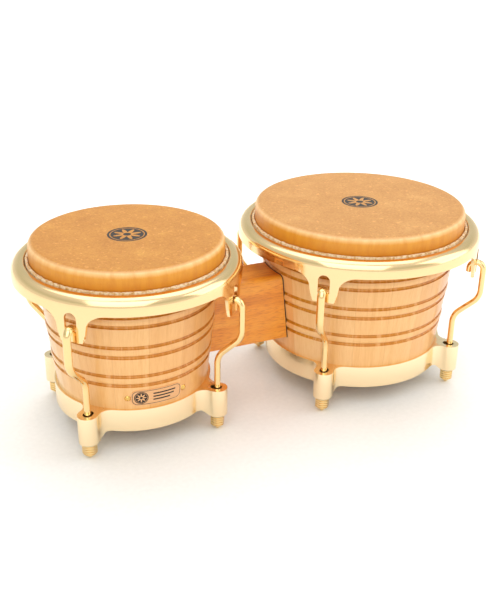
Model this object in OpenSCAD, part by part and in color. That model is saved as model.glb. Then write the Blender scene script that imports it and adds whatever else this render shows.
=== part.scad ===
// Bongo drums: a small and a large tapered stave drum joined by a wooden centre block.
// Millimetres. +X runs from the small drum to the large one, +Z is up, and z = 0 is the
// plane that the tips of the eight tuning nuts stand on.
// Angles round a drum are measured from +X, towards +Y.

/* [Drums] */
// Radius of the small head, over its rounded edge
small_head_r = 94; // [90:0.5:97]
// Radius of the large head, over its rounded edge
large_head_r = 111.4; // [107:0.2:115]
// Distance between the axes of the two drums
drum_spacing = 258; // [252:1:290]
// Height of the playing surfaces above the feet
head_top = 195.4; // [190:0.2:200]

/* [Heads] */
// Thickness of the rawhide
hide_t = 1.8; // [1.2:0.1:2.4]
// Radius of the rounded edge of a head
head_round = 6; // [4:0.5:8]
// Radius of the steel wire of the flesh hoops
hoop_wire_r = 2; // [1.5:0.1:2.2]

/* [Shells] */
// Growth of a shell's radius for each millimetre of height
shell_taper = 0.1036; // [0.09:0.0002:0.11]
// Thickness of the staves
stave_t = 12; // [9:0.5:14]
// Radius of the turned grooves
groove_r = 1.3; // [0.8:0.1:1.8]

/* [Tuning rims] */
// Thickness of the pressed steel rims
rim_t = 3; // [2:0.5:3]
// Radius of a rim's rounded shoulder
rim_shoulder = 9; // [8:0.5:10]
// Width of an ear at its foot
ear_w = 22; // [20:0.5:24]
// Width of the slot that holds a hook
slot_w = 12; // [10:0.5:13]

/* [Tuning rods] */
// Diameter of a rod
rod_d = 6.4; // [5.6:0.1:6.6]
// Slope of a rod's inward step, from the vertical
step_angle = 46; // [42:1:50]

/* [Bottom rings] */
// Radius of the bosses that the rods pass through
boss_r = 10; // [9.5:0.5:11]
// Radius of the fillets between a boss and its ring
boss_fillet = 12; // [8:0.5:14]

/* [Centre block] */
// Width of the centre block across the drums
block_w = 45; // [40:1:50]
// Height of the centre block
block_h = 72; // [66:1:76]
// Diameter of the bolts through the centre block
bolt_d = 8; // [6:0.5:8]

/* [Badge] */
// Length of the badge plate
badge_l = 50; // [40:1:50]
// Height of the badge plate
badge_h = 17; // [12:0.5:18]
// Direction that the badge faces
badge_angle = 269.5; // [262:0.5:278]

/* [Hidden] */
$fn = 96;
SIDES = ["small", "large"];
SMALL = 0;
LARGE = 1;
FAR = 400;                                   // longer than anything, for cuts
RUN = 0.05;                                  // radial clearance of a running fit
HEAD_R = [small_head_r, large_head_r];

// rim, relative to the head
rim_out = 17.5;                              // how far the rim's wall lies outside the head
rim_in = 4.5;                                // gap between the head and the rim's inner lip
RIM_R = [for (r = HEAD_R) r + rim_out];
AXIS_X = [-(drum_spacing + RIM_R[LARGE] - RIM_R[SMALL]) / 2,
          (drum_spacing - RIM_R[LARGE] + RIM_R[SMALL]) / 2];

// heights above the feet
washer_t = 1;
boss_bottom = 17.4;
washer_gap = 0.1;                            // between a nut and its washer
nut_top = boss_bottom - washer_t - washer_gap;
ring_bottom = 24;
ring_lip_t = 3;
ring_top = 47;
block_bottom = 63;
rim_top = head_top - 19;
lip_bottom = rim_top - 6.4;
skirt_edge = rim_top - 16;
ear_bottom = skirt_edge - 28;
slot_top = skirt_edge + 0.6;
slot_bottom = skirt_edge - 18.2;
hoop_z = lip_bottom - hoop_wire_r - 1.5;
collar_bottom = hoop_z - 1.5;
shell_top = head_top - hide_t - 0.2;
groove_pairs = [[73.4, 83.6], [104.8, 115.4], [137.4, 147.6]];

// shells
SHELL_BASE_R = [for (r = HEAD_R) r - 17.5];  // outside radius at the top of the bottom ring
rebate = 1.2;                                // the shell is turned down where the ring holds it
bearing_round = 5;
fit_gap = 0.1;

// hide wrapped round the flesh hoops
wrap_t = 1.3;
wrap_r = hoop_wire_r + wrap_t + fit_gap;
wrap_gap = 0.4;                              // between the moving wrap and the still collar

// rods and their bosses
ROD_ANGLES = [45, 135, 225, 315];
rod_rad = rod_d / 2;
ROD_R = [for (r = HEAD_R) r - 0.6];          // the threaded ends' circle
hook_r = 7.2;                                // centre line of the hook over the rim's ear
HOOK_R = [for (r = RIM_R) r + 7.4];          // the upper stretches' circle
hook_z = slot_bottom - 3.3;
hook_tail = 4;
bend_r = 12;
upper_bend_z = 112;
rod_end = 8.5;
ring_wall = 2.6;
boss_slot_r = 4.6;
boss_slot_in = 2.6;

// nuts
nut_flats = 12.7;
nut_cone_top = 5;
nut_tip_r = 1.6;
nut_bore_end = 4.2;

// centre block and its bolts
block_round = 5;
gasket_t = 0.8;
plate_t = 2.5;
pad_r = 10;
pad_t = 3;
BOLT_Z = [83, 115];
bolt_hole_r = bolt_d / 2 + 0.2;
bolt_flats = 13;
bolt_head_t = 5.3;
bolt_nut_t = 6.5;
bolt_washer_t = 1.6;

// badge
badge_z = 59.5;
badge_t = 0.7;
badge_round = 6;
badge_screw_arc = 28.4;
badge_screw_r = 1;

gold = "gold";
pale_wood = "burlywood";
red_wood = "peru";
hide = "sandybrown";
steel = "silver";

function shell_r(d, z) = SHELL_BASE_R[d] + shell_taper * (z - ring_top);
function inner_r(d, z) = shell_r(d, z) - stave_t;
function hoop_r(d) = HEAD_R[d] + wrap_gap + wrap_r;

// Turns a shape to the side of drum d that faces the other drum.
module facing_block(d) {
  translate([AXIS_X[d], 0, 0])
    rotate(d == SMALL ? 0 : 180)
      children();
}

module shell_cone(d, z0, z1, grow) {
  translate([0, 0, z0])
    cylinder(h = z1 - z0, r1 = shell_r(d, z0) + grow, r2 = shell_r(d, z1) + grow);
}

// A rod along X, for bolts, their holes and their pads.
module along_x(z, r, x0, x1) {
  translate([x0, 0, z])
    rotate([0, 90, 0])
      cylinder(h = x1 - x0, r = r);
}

// Half section of a round lid of radius r, with a rounded edge.
module lid_section(r, top, bottom, round) {
  translate([0, bottom])
    square([r, top - round - bottom]);
  translate([0, bottom])
    square([r - round, top - bottom]);
  translate([r - round, top - round])
    circle(round);
}

// ---- staved shell: a tapered tube of glued staves, turned with three pairs of grooves ----
module shell_section(d) {
  foot_z = ring_bottom + ring_lip_t;
  base_r = SHELL_BASE_R[d];
  edge_z = shell_top - bearing_round;
  edge_r = shell_r(d, edge_z);
  difference() {
    union() {
      polygon([[inner_r(d, foot_z), foot_z],
               [base_r - rebate, foot_z],
               [base_r - rebate, ring_top],
               [base_r, ring_top],
               [edge_r, edge_z],
               [edge_r - bearing_round, shell_top],
               [inner_r(d, shell_top), shell_top]]);
      translate([edge_r - bearing_round, edge_z])
        circle(bearing_round);
    }
    for (pair = groove_pairs, z = pair)
      translate([shell_r(d, z), z])
        circle(groove_r);
  }
}

module shell(d) {
  color(pale_wood)
    difference() {
      translate([AXIS_X[d], 0, 0])
        rotate_extrude()
          shell_section(d);
      facing_block(d)
        for (z = BOLT_Z)
          along_x(z, bolt_hole_r, 0, FAR);
      if (d == SMALL)
        badge_screw_places()
          cylinder(h = FAR, r = badge_screw_r, center = true);
    }
}

// ---- bottom ring: a casting with four bosses that the tuning rods pull against ----
module ring_outline(d) {
  ring_r = SHELL_BASE_R[d] + ring_wall;
  rod_r = ROD_R[d];
  // the fillet circle touches the ring and the boss
  to_axis = ring_r + boss_fillet;
  to_boss = boss_r + boss_fillet;
  fillet_x = (to_axis ^ 2 - to_boss ^ 2 + rod_r ^ 2) / (2 * rod_r);
  fillet_y = sqrt(to_axis ^ 2 - fillet_x ^ 2);
  difference() {
    union() {
      circle(ring_r);
      for (a = ROD_ANGLES)
        rotate(a) {
          translate([rod_r, 0])
            circle(boss_r);
          polygon([[0, 0], [fillet_x, -fillet_y], [rod_r, 0], [fillet_x, fillet_y]]);
        }
    }
    for (a = ROD_ANGLES, side = [-1, 1])
      rotate(a)
        translate([fillet_x, side * fillet_y])
          circle(boss_fillet + 0.05);
  }
}

module bottom_ring(d) {
  drop = ring_bottom - boss_bottom;
  chamfer = 0.6;
  spread = 1.1;                              // slope of the webs under the ring, out for down
  color(gold)
    translate([AXIS_X[d], 0, 0])
      difference() {
        translate([0, 0, boss_bottom])
          linear_extrude(ring_top - boss_bottom)
            ring_outline(d);
        // the ring's lower edge arches up between the bosses
        difference() {
          translate([0, 0, boss_bottom - 1])
            cylinder(h = drop + 1, r = ROD_R[d] + 2 * boss_r);
          for (a = ROD_ANGLES)
            rotate(a)
              translate([ROD_R[d], 0, boss_bottom - 1])
                cylinder(h = drop + 2, r1 = boss_r - chamfer - spread,
                         r2 = boss_r - chamfer + spread * (drop + 1));
        }
        translate([0, 0, ring_bottom + ring_lip_t])
          cylinder(h = FAR, r = SHELL_BASE_R[d] - rebate + fit_gap);
        translate([0, 0, -1])
          cylinder(h = FAR, r = inner_r(d, ring_bottom) - 1);
        for (a = ROD_ANGLES)
          rotate(a)
            translate([ROD_R[d], 0, -1]) {
              cylinder(h = FAR, r = boss_slot_r);
              translate([-boss_slot_in, 0, 0])
                cylinder(h = FAR, r = boss_slot_r);
              translate([-boss_slot_in, -boss_slot_r, 0])
                cube([boss_slot_in, 2 * boss_slot_r, FAR]);
            }
      }
}

module boss_washers(d) {
  color(steel)
    for (a = ROD_ANGLES)
      translate([AXIS_X[d], 0, boss_bottom - washer_t])
        rotate(a)
          translate([ROD_R[d], 0, 0])
            difference() {
              cylinder(h = washer_t, r = 8.4);
              translate([0, 0, -1])
                cylinder(h = washer_t + 2, r = rod_rad + 0.4);
            }
}

// ---- head: rawhide drawn over the shell's bearing edge, with its collar ----
module head(d) {
  color(hide)
    translate([AXIS_X[d], 0, 0])
      rotate_extrude()
        difference() {
          lid_section(HEAD_R[d], head_top, collar_bottom, head_round);
          lid_section(HEAD_R[d] - hide_t, head_top - hide_t, collar_bottom - 1,
                      head_round - hide_t);
        }
}

// ---- flesh hoop: the steel ring that the hide is wrapped on, under the rim's lip ----
module flesh_hoop(d) {
  color(steel)
    translate([AXIS_X[d], 0, hoop_z])
      rotate_extrude()
        translate([hoop_r(d), 0])
          circle(hoop_wire_r);
}

// ---- hide tuck: the hide's wrap round the hoop and its cut edge, standing by the collar ----
module hide_tuck(d) {
  cut_edge_z = rim_top + 0.4;
  edge_r = HEAD_R[d] + 0.9;
  edge_t = 1.7;
  color(hide)
    translate([AXIS_X[d], 0, 0])
      rotate_extrude()
        difference() {
          union() {
            translate([hoop_r(d), hoop_z])
              circle(wrap_r);
            translate([edge_r, hoop_z])
              square([edge_t, cut_edge_z - hoop_z]);
          }
          translate([hoop_r(d), hoop_z])
            circle(hoop_wire_r + fit_gap);
        }
}

// ---- rim: a pressed steel ring with a rounded shoulder and four slotted ears ----
module rim_section(d) {
  r_out = RIM_R[d];
  r_in = HEAD_R[d] + rim_in;
  lip_round = rim_t / 2;
  shoulder_x = r_out - rim_shoulder;
  shoulder_z = rim_top - rim_shoulder;
  // rounded shoulder
  intersection() {
    difference() {
      translate([shoulder_x, shoulder_z])
        circle(rim_shoulder);
      translate([shoulder_x, shoulder_z])
        circle(rim_shoulder - rim_t);
    }
    translate([shoulder_x, shoulder_z])
      square(FAR);
  }
  // top flat, rolled inner lip, and the wall down to the tips of the ears
  translate([r_in + lip_round, rim_top - rim_t])
    square([shoulder_x - r_in - lip_round, rim_t]);
  translate([r_in + lip_round, rim_top - lip_round])
    circle(lip_round);
  translate([r_in, lip_bottom])
    square([rim_t, rim_top - lip_round - lip_bottom]);
  translate([r_out - rim_t, ear_bottom])
    square([rim_t, shoulder_z - ear_bottom]);
}

// Outline of an ear, with its shoulders swept into the skirt by two concave arcs.
// It runs on above the skirt's edge, where the skirt itself is.
module ear_outline() {
  sweep_r = 13;
  foot_half = ear_w / 2;
  neck_half = foot_half + 3;
  step_z = ear_bottom + 6;
  sweep_z = skirt_edge + 0.15 - sweep_r;
  side_x = neck_half + sweep_r;
  difference() {
    polygon([[-foot_half, ear_bottom - 2], [foot_half, ear_bottom - 2],
             [foot_half + 1, step_z], [neck_half + 0.1, sweep_z],
             [side_x, sweep_z], [side_x, skirt_edge + 2],
             [-side_x, skirt_edge + 2], [-side_x, sweep_z],
             [-neck_half - 0.1, sweep_z], [-foot_half - 1, step_z]]);
    for (side = [-1, 1])
      translate([side * side_x, sweep_z])
        circle(sweep_r);
  }
}

module slot_outline() {
  half = slot_w / 2;
  translate([0, slot_top - half])
    circle(half);
  translate([-half, slot_bottom])
    square([slot_w, slot_top - half - slot_bottom]);
}

// Stands an outline of width and height upright, facing outwards, from radius r0 on.
module stand_outwards(r0, depth) {
  translate([r0, 0, 0])
    rotate([90, 0, 90])
      linear_extrude(depth)
        children();
}

module rim(d) {
  r_out = RIM_R[d];
  channel_t = 0.9;                           // depth of the seat pressed below the slot
  channel_w = slot_w - 1.6;
  reach = 30;
  color(gold)
    translate([AXIS_X[d], 0, 0])
      difference() {
        rotate_extrude()
          rim_section(d);
        // the gaps between the ears
        difference() {
          translate([0, 0, ear_bottom - 1])
            cylinder(h = skirt_edge + 1 - ear_bottom, r = r_out + 1);
          translate([0, 0, ear_bottom - 2])
            cylinder(h = FAR, r = r_out - rim_t - 1);
          for (a = ROD_ANGLES)
            rotate(a)
              stand_outwards(r_out - reach, 2 * reach)
                ear_outline();
        }
        for (a = ROD_ANGLES)
          rotate(a) {
            stand_outwards(r_out - reach / 2, reach)
              slot_outline();
            stand_outwards(r_out - channel_t, reach)
              translate([-channel_w / 2, ear_bottom - 1])
                square([channel_w, slot_bottom - ear_bottom + 2]);
          }
      }
}

// ---- tuning rod: hooked over an ear, stepped inwards, threaded at its foot ----
// A bend in the XZ plane: centre, radius, first angle from +X towards +Z, and sweep.
// It is a little thinner than the straight rod, as a cold bend is, and runs on into it.
module rod_bend(x, z, r, from, sweep) {
  run_on = 3;
  translate([x, 0, z])
    rotate([90, 0, 0])
      rotate([0, 0, from - run_on])
        rotate_extrude(angle = sweep + 2 * run_on)
          translate([r, 0])
            circle(rod_rad - 0.05);
}

module rod(d, angle) {
  top_r = HOOK_R[d];
  low_r = ROD_R[d];
  bend_in = bend_r * (1 - cos(step_angle));
  bend_drop = bend_r * sin(step_angle);
  step_l = (top_r - low_r - 2 * bend_in) / sin(step_angle);
  step_drop = step_l * cos(step_angle);
  lower_bend_z = upper_bend_z - 2 * bend_drop - step_drop;
  color(gold)
    translate([AXIS_X[d], 0, 0])
      rotate(angle) {
        // the hook, and its tail behind the ear
        rod_bend(top_r - hook_r, hook_z, hook_r, 0, 180);
        translate([top_r - 2 * hook_r, 0, hook_z - hook_tail])
          cylinder(h = hook_tail, r = rod_rad);
        // the upper stretch, the step and the threaded foot
        translate([top_r, 0, upper_bend_z])
          cylinder(h = hook_z - upper_bend_z, r = rod_rad);
        rod_bend(top_r - bend_r, upper_bend_z, bend_r, -step_angle, step_angle);
        translate([top_r - bend_in, 0, upper_bend_z - bend_drop])
          rotate([0, 180 + step_angle, 0])
            cylinder(h = step_l, r = rod_rad);
        rod_bend(low_r + bend_r, lower_bend_z, bend_r, 180 - step_angle, step_angle);
        translate([low_r, 0, rod_end])
          cylinder(h = lower_bend_z - rod_end, r = rod_rad);
      }
}

// ---- tuning nut: a closed hexagon nut with turned rings, and the foot it stands on ----
module nut(d, angle) {
  corner_r = nut_flats / sqrt(3);
  ring_pitch = 2.6;
  ring_w = 0.7;
  ring_r = nut_flats / 2 - 0.45;
  color(gold)
    translate([AXIS_X[d], 0, 0])
      rotate(angle)
        translate([ROD_R[d], 0, 0])
          difference() {
            union() {
              intersection() {
                translate([0, 0, nut_cone_top / 4])
                  cylinder(h = nut_top - nut_cone_top / 4, r = corner_r, $fn = 6);
                rotate_extrude()
                  polygon([[0, 1], [2, 1], [corner_r, nut_cone_top + 0.8],
                           [corner_r, nut_top - 0.6], [corner_r - 0.7, nut_top], [0, nut_top]]);
              }
              cylinder(h = nut_cone_top / 2, r1 = nut_tip_r, r2 = nut_tip_r + 0.6);
            }
            for (i = [0:3])
              translate([0, 0, nut_cone_top + 1 + i * ring_pitch])
                difference() {
                  cylinder(h = ring_w, r = corner_r + 1);
                  translate([0, 0, -1])
                    cylinder(h = ring_w + 2, r = ring_r);
                }
            translate([0, 0, nut_bore_end])
              cylinder(h = FAR, r = rod_rad + RUN);
          }
}

// ---- centre block: a hardwood bar hollowed at both ends to fit the shells ----
module block_outline(grow) {
  translate([-block_w / 2 - grow, block_bottom - grow])
    square([block_w + 2 * grow, block_h - block_round + grow]);
  translate([-block_w / 2 + block_round, block_bottom])
    square([block_w - 2 * block_round, block_h + grow]);
  for (side = [-1, 1])
    translate([side * (block_w / 2 - block_round), block_bottom + block_h - block_round])
      circle(block_round + grow);
}

module block_bolt_holes() {
  for (z = BOLT_Z)
    along_x(z, bolt_hole_r, -FAR, FAR);
}

module centre_block() {
  color(red_wood)
    difference() {
      translate([AXIS_X[SMALL], 0, 0])
        stand_outwards(0, drum_spacing)
          block_outline(0);
      for (d = [SMALL, LARGE])
        translate([AXIS_X[d], 0, 0])
          shell_cone(d, 0, head_top, gasket_t);
      block_bolt_holes();
    }
}

module block_gasket(d) {
  color("dimgray")
    difference() {
      facing_block(d)
        intersection() {
          difference() {
            shell_cone(d, ring_top, head_top, gasket_t);
            shell_cone(d, ring_top - 1, head_top + 1, 0);
          }
          stand_outwards(0, FAR)
            block_outline(0.4);
        }
      block_bolt_holes();
    }
}

// ---- bolts through the block, with a curved plate inside each shell ----
// Flat face that a bolt's washer bears on, as a distance from the drum's axis.
function pad_face(d, z) = inner_r(d, z) - plate_t - pad_t;

module backing_plate(d) {
  half_w = 20;
  end = 14;
  color(steel)
    difference() {
      facing_block(d)
        intersection() {
          shell_cone(d, ring_top, head_top, -stave_t);
          union() {
            difference() {
              translate([0, -half_w, BOLT_Z[0] - end])
                cube([FAR, 2 * half_w, BOLT_Z[1] - BOLT_Z[0] + 2 * end]);
              shell_cone(d, ring_top - 1, head_top + 1, -stave_t - plate_t);
            }
            for (z = BOLT_Z)
              along_x(z, pad_r, pad_face(d, z), pad_face(d, z) + FAR);
          }
        }
      block_bolt_holes();
    }
}

module block_bolts() {
  color(steel)
    for (z = BOLT_Z) {
      head_x = AXIS_X[SMALL] + pad_face(SMALL, z) - bolt_washer_t;
      tail_x = AXIS_X[LARGE] - pad_face(LARGE, z) + bolt_washer_t + bolt_nut_t + 2;
      along_x(z, bolt_d / 2, head_x - bolt_head_t, tail_x);
      translate([head_x - bolt_head_t, 0, z])
        rotate([0, 90, 0])
          cylinder(h = bolt_head_t, r = bolt_flats / sqrt(3), $fn = 6);
    }
}

module block_bolt_washers() {
  color(steel)
    for (d = [SMALL, LARGE], z = BOLT_Z)
      facing_block(d)
        difference() {
          along_x(z, 8.5, pad_face(d, z) - bolt_washer_t, pad_face(d, z));
          along_x(z, bolt_hole_r, 0, FAR);
        }
}

module block_bolt_nuts() {
  color(steel)
    for (z = BOLT_Z)
      difference() {
        translate([AXIS_X[LARGE] - pad_face(LARGE, z) + bolt_washer_t, 0, z])
          rotate([0, 90, 0])
            cylinder(h = bolt_nut_t, r = bolt_flats / sqrt(3), $fn = 6);
        along_x(z, bolt_d / 2, -FAR, FAR);
      }
}

// ---- badge: a thin plate bent round the small shell, and its two screws ----
module badge_screw_places() {
  screw_angle = badge_screw_arc / shell_r(SMALL, badge_z) * 180 / PI;
  for (side = [-1, 1])
    translate([AXIS_X[SMALL], 0, badge_z - 1])
      rotate(badge_angle + side * screw_angle)
        translate([shell_r(SMALL, badge_z - 1), 0, 0])
          rotate([0, 90, 0])
            children();
}

module badge_plate() {
  color("tan")
    translate([AXIS_X[SMALL], 0, 0])
      rotate(badge_angle)
        intersection() {
          difference() {
            shell_cone(SMALL, ring_top, head_top, badge_t);
            shell_cone(SMALL, ring_top - 1, head_top + 1, 0);
          }
          stand_outwards(0, FAR)
            translate([0, badge_z]) {
              square([badge_l, badge_h - 2 * badge_round], center = true);
              square([badge_l - 2 * badge_round, badge_h], center = true);
              for (x = [-1, 1], z = [-1, 1])
                translate([x * (badge_l / 2 - badge_round), z * (badge_h / 2 - badge_round)])
                  circle(badge_round);
            }
        }
}

module badge_screws() {
  dome_r = 2.9;
  dome_h = 1.5;
  color(gold)
    badge_screw_places() {
      translate([0, 0, -8])
        cylinder(h = 8.2, r = badge_screw_r - 0.02);
      intersection() {
        translate([0, 0, dome_h + 0.2 - dome_r])
          sphere(dome_r);
        translate([0, 0, 0.2])
          cylinder(h = dome_h, r = dome_r);
      }
    }
}

for (d = [SMALL, LARGE]) {
  s = SIDES[d];
  shell(d);
  bottom_ring(d);
  head(d);
  flesh_hoop(d);
  hide_tuck(d);
  rim(d);
  boss_washers(d);
  block_gasket(d);
  backing_plate(d);
  for (i = [0:3]) {
    rod(d, ROD_ANGLES[i]);
    nut(d, ROD_ANGLES[i]);
  }
}
centre_block();
block_bolts();
block_bolt_washers();
block_bolt_nuts();
badge_plate();
badge_screws();
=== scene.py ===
import math

import bmesh
import bpy
from mathutils import Matrix, Vector


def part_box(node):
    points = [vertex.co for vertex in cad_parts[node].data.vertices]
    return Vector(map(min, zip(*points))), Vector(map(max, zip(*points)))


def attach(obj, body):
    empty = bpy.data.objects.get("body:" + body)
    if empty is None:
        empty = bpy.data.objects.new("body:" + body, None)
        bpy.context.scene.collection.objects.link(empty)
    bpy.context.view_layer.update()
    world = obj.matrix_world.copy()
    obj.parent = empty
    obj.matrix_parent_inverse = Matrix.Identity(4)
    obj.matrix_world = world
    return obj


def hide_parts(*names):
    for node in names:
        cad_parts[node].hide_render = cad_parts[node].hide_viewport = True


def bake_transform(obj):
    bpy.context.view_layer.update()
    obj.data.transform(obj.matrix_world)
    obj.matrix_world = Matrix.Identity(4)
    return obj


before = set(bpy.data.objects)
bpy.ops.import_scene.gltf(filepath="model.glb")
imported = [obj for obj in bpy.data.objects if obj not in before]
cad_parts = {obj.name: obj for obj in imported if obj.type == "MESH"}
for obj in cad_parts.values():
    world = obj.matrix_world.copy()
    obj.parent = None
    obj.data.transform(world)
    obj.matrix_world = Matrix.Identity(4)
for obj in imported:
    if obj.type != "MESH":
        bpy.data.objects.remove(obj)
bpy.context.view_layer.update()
bpy.ops.object.select_all(action="DESELECT")


# ---- Floor ----
# A seamless sheet of matt white paper, far wider than the drums, that they stand on.
# It belongs to the studio and not to the object.
def srgb(code):
    """Linear colour of an sRGB hex code."""
    parts = [int(code[i : i + 2], 16) / 255 for i in (1, 3, 5)]
    return [p / 12.92 if p <= 0.04045 else ((p + 0.055) / 1.055) ** 2.4 for p in parts] + [1]


def connect(mat, made, inputs):
    """Gives a node's inputs their values, or links them where they are sockets."""
    for key, value in inputs.items():
        if isinstance(value, bpy.types.NodeSocket):
            mat.node_tree.links.new(value, made.inputs[key])
        else:
            made.inputs[key].default_value = value


def node(mat, kind, inputs=None, **settings):
    """Adds a shader node with its settings and its inputs."""
    made = mat.node_tree.nodes.new("ShaderNode" + kind)
    for key, value in settings.items():
        setattr(made, key, value)
    connect(mat, made, inputs or {})
    return made


def tones(mat, value, stops):
    """Colours along a value; stops are (position, sRGB hex)."""
    ramp = node(mat, "ValToRGB", {"Fac": value})
    elements = ramp.color_ramp.elements
    elements.remove(elements[1])
    elements[0].position, elements[0].color = stops[0][0], srgb(stops[0][1])
    for place, code in stops[1:]:
        elements.new(place).color = srgb(code)
    return ramp.outputs["Color"]


def noise(mat, vector, scale, detail=3.0, roughness=0.5):
    """Height of a cloudy noise; scale is the number of clouds per metre."""
    inputs = {"Vector": vector, "Scale": scale, "Detail": detail, "Roughness": roughness}
    return node(mat, "TexNoise", inputs).outputs["Fac"]


def material(name, **sockets):
    """A new material whose own shader has these values."""
    mat = bpy.data.materials.new(name)
    mat.use_nodes = True
    connect(mat, mat.node_tree.nodes["Principled BSDF"], sockets)
    return mat


def shade(mat, **sockets):
    """Links or sets more sockets of the material's own shader; _ stands for a space."""
    named = {key.replace("_", " "): value for key, value in sockets.items()}
    connect(mat, mat.node_tree.nodes["Principled BSDF"], named)


def coordinates(mat):
    """The place of a point on its piece, in metres."""
    return node(mat, "TexCoord").outputs["Object"]


def dress(obj, *materials):
    """Gives a piece its materials, in the order of their slots."""
    obj.data.materials.clear()
    for mat in materials:
        obj.data.materials.append(mat)


# uncoated paper: quite matt, its fibres only just seen as clouds of about 5 mm
paper = material("white_seamless_paper", Roughness=0.95)
paper_grain = noise(paper, coordinates(paper), 220.0)
shade(paper, Base_Color=tones(paper, paper_grain, [(0.3, "#F3F2F0"), (0.7, "#F8F7F5")]))

sheet_w = 24
bpy.ops.mesh.primitive_plane_add(size=sheet_w)
floor = bpy.context.object
floor.name = "floor"
dress(floor, paper)


# ---- Light and camera ----
# A white room, a little darker part way up its walls, with large soft lamps: one above the
# front left, one to the right, one above and behind, and one for the paper's far end.
# The camera stands in front and a little to the left, above the heads.
world = bpy.data.worlds.new("white_room")
bpy.context.scene.world = world
world.use_nodes = True
sky_place = node(world, "TexCoord").outputs["Generated"]
sky_height = node(world, "SeparateXYZ", {0: sky_place}).outputs["Z"]
sky_stops = [(0.0, "#FFFFFF"), (0.12, "#F8F9F6"), (0.42, "#D3D6CB")]
sky_stops += [(0.62, "#E6E8E6"), (0.9, "#FDFDFD")]
room_light = world.node_tree.nodes["Background"]
world.node_tree.links.new(tones(world, sky_height, sky_stops), room_light.inputs["Color"])
room_light.inputs["Strength"].default_value = 0.9
bpy.context.scene.view_settings.view_transform = "Standard"


def lamp(name, place, target, size, power):
    """A rectangular soft lamp, aimed at a point; sizes in metres, power in watts."""
    bpy.ops.object.light_add(type="AREA", location=place)
    light = bpy.context.object
    light.name = name
    light.data.shape = "RECTANGLE"
    light.data.size, light.data.size_y = size
    light.data.energy = power
    aim = Vector(target) - Vector(place)
    light.rotation_euler = aim.to_track_quat("-Z", "Y").to_euler()
    return light


drums_middle = (0, 0, 0.1)
lamp("key_lamp", (-1.0, -1.7, 1.9), drums_middle, (2.6, 2.6), 27)
lamp("right_lamp", (1.9, -0.8, 1.1), drums_middle, (1.6, 2.0), 13)
lamp("top_lamp", (0.1, 0.5, 2.2), drums_middle, (2.6, 1.8), 16)
# the last one lights the far paper and isn't mirrored in the metal
far_lamp = lamp("paper_lamp", (1.3, 3.2, 2.6), (2.0, 4.5, 0), (3.5, 3.5), 260)
far_lamp.visible_glossy = False

camera_place = Vector((-0.3754, -0.7939, 0.5066))
yaw, pitch, roll = (math.radians(angle) for angle in (24.906, 24.779, 0.915))
ahead = math.cos(pitch)
forward = Vector((math.sin(yaw) * ahead, math.cos(yaw) * ahead, -math.sin(pitch)))
level = Vector((math.cos(yaw), -math.sin(yaw), 0))
upright = level.cross(forward)
right = math.cos(roll) * level + math.sin(roll) * upright
up = math.cos(roll) * upright - math.sin(roll) * level
bpy.ops.object.camera_add()
camera = bpy.context.object
camera.name = "camera"
camera.data.sensor_width = 36
camera.data.lens = 54.8
turned_camera = Matrix((right, up, -forward)).transposed().to_4x4()
camera.matrix_world = Matrix.Translation(camera_place) @ turned_camera
bpy.context.scene.camera = camera


# ---- Shells ----
# Two tapered tubes of glued pale hardwood staves, turned with three pairs of grooves with a
# bead between each pair, sanded and lacquered. They stand in the bottom rings.
SIDES = ("small", "large")
MM = 0.001
head_boxes = {side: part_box(side + "_head") for side in SIDES}


def axis_x(side):
    """Where a drum's upright axis stands, in mm."""
    low, high = head_boxes[side]
    return (low.x + high.x) / 2 / MM


def head_r(side):
    """Outside radius of a drum's head, in mm."""
    low, high = head_boxes[side]
    return (high.x - low.x) / 2 / MM


def apply_transforms(obj):
    """Puts a piece's origin at the world's, unturned and unscaled."""
    bpy.ops.object.select_all(action="DESELECT")
    obj.select_set(True)
    bpy.context.view_layer.objects.active = obj
    bpy.ops.object.transform_apply(location=True, rotation=True, scale=True)


def smooth(obj, degrees=40):
    """Fixes a piece in place and shades it smooth across angles below this one."""
    apply_transforms(obj)
    bpy.ops.object.shade_smooth_by_angle(angle=math.radians(degrees))


def turn(name, section, x=0.0, steps=192, solid=False):
    """Turns a section of (radius, height) in mm about the upright axis at x.
    A solid piece is capped at both ends; a ring's last edge is bridged to its first."""
    radius, height = section[0]
    place = (x * MM, 0, height * MM)
    bpy.ops.mesh.primitive_circle_add(vertices=steps, radius=radius * MM, location=place)
    obj = bpy.context.object
    obj.name = obj.data.name = name
    bpy.ops.object.mode_set(mode="EDIT")
    bpy.ops.mesh.select_all(action="SELECT")
    for r, z in section[1:]:
        rise = (0, 0, (z - height) * MM)
        bpy.ops.mesh.extrude_region_move(TRANSFORM_OT_translate={"value": rise})
        if r != radius:
            centre = (x * MM, 0, z * MM)
            bpy.ops.transform.resize(value=(r / radius, r / radius, 1), center_override=centre)
        radius, height = r, z
    if solid:
        bpy.ops.mesh.select_all(action="SELECT")
        bpy.ops.mesh.fill_holes(sides=0)
    else:
        bpy.ops.mesh.select_all(action="DESELECT")
        bpy.ops.mesh.select_non_manifold()
        bpy.ops.mesh.bridge_edge_loops()
    bpy.ops.mesh.select_all(action="SELECT")
    bpy.ops.mesh.normals_make_consistent(inside=False)
    bpy.ops.object.mode_set(mode="OBJECT")
    smooth(obj)
    return obj


def arc(x, z, radius, start, end, steps):
    """Points round (x, z), from one angle to another, in degrees."""
    turns = [math.radians(start + (end - start) * i / steps) for i in range(steps + 1)]
    return [(x + radius * math.cos(t), z + radius * math.sin(t)) for t in turns]


def bump(mat, height, distance, strength=1.0):
    """Roughens the shader's surface by a height, over a depth in metres."""
    inputs = {"Height": height, "Distance": distance, "Strength": strength}
    shade(mat, Normal=node(mat, "Bump", inputs).outputs["Normal"])


def calc(mat, operation, *values):
    """One step of arithmetic on numbers or sockets."""
    return node(mat, "Math", dict(enumerate(values)), operation=operation).outputs[0]


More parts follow.
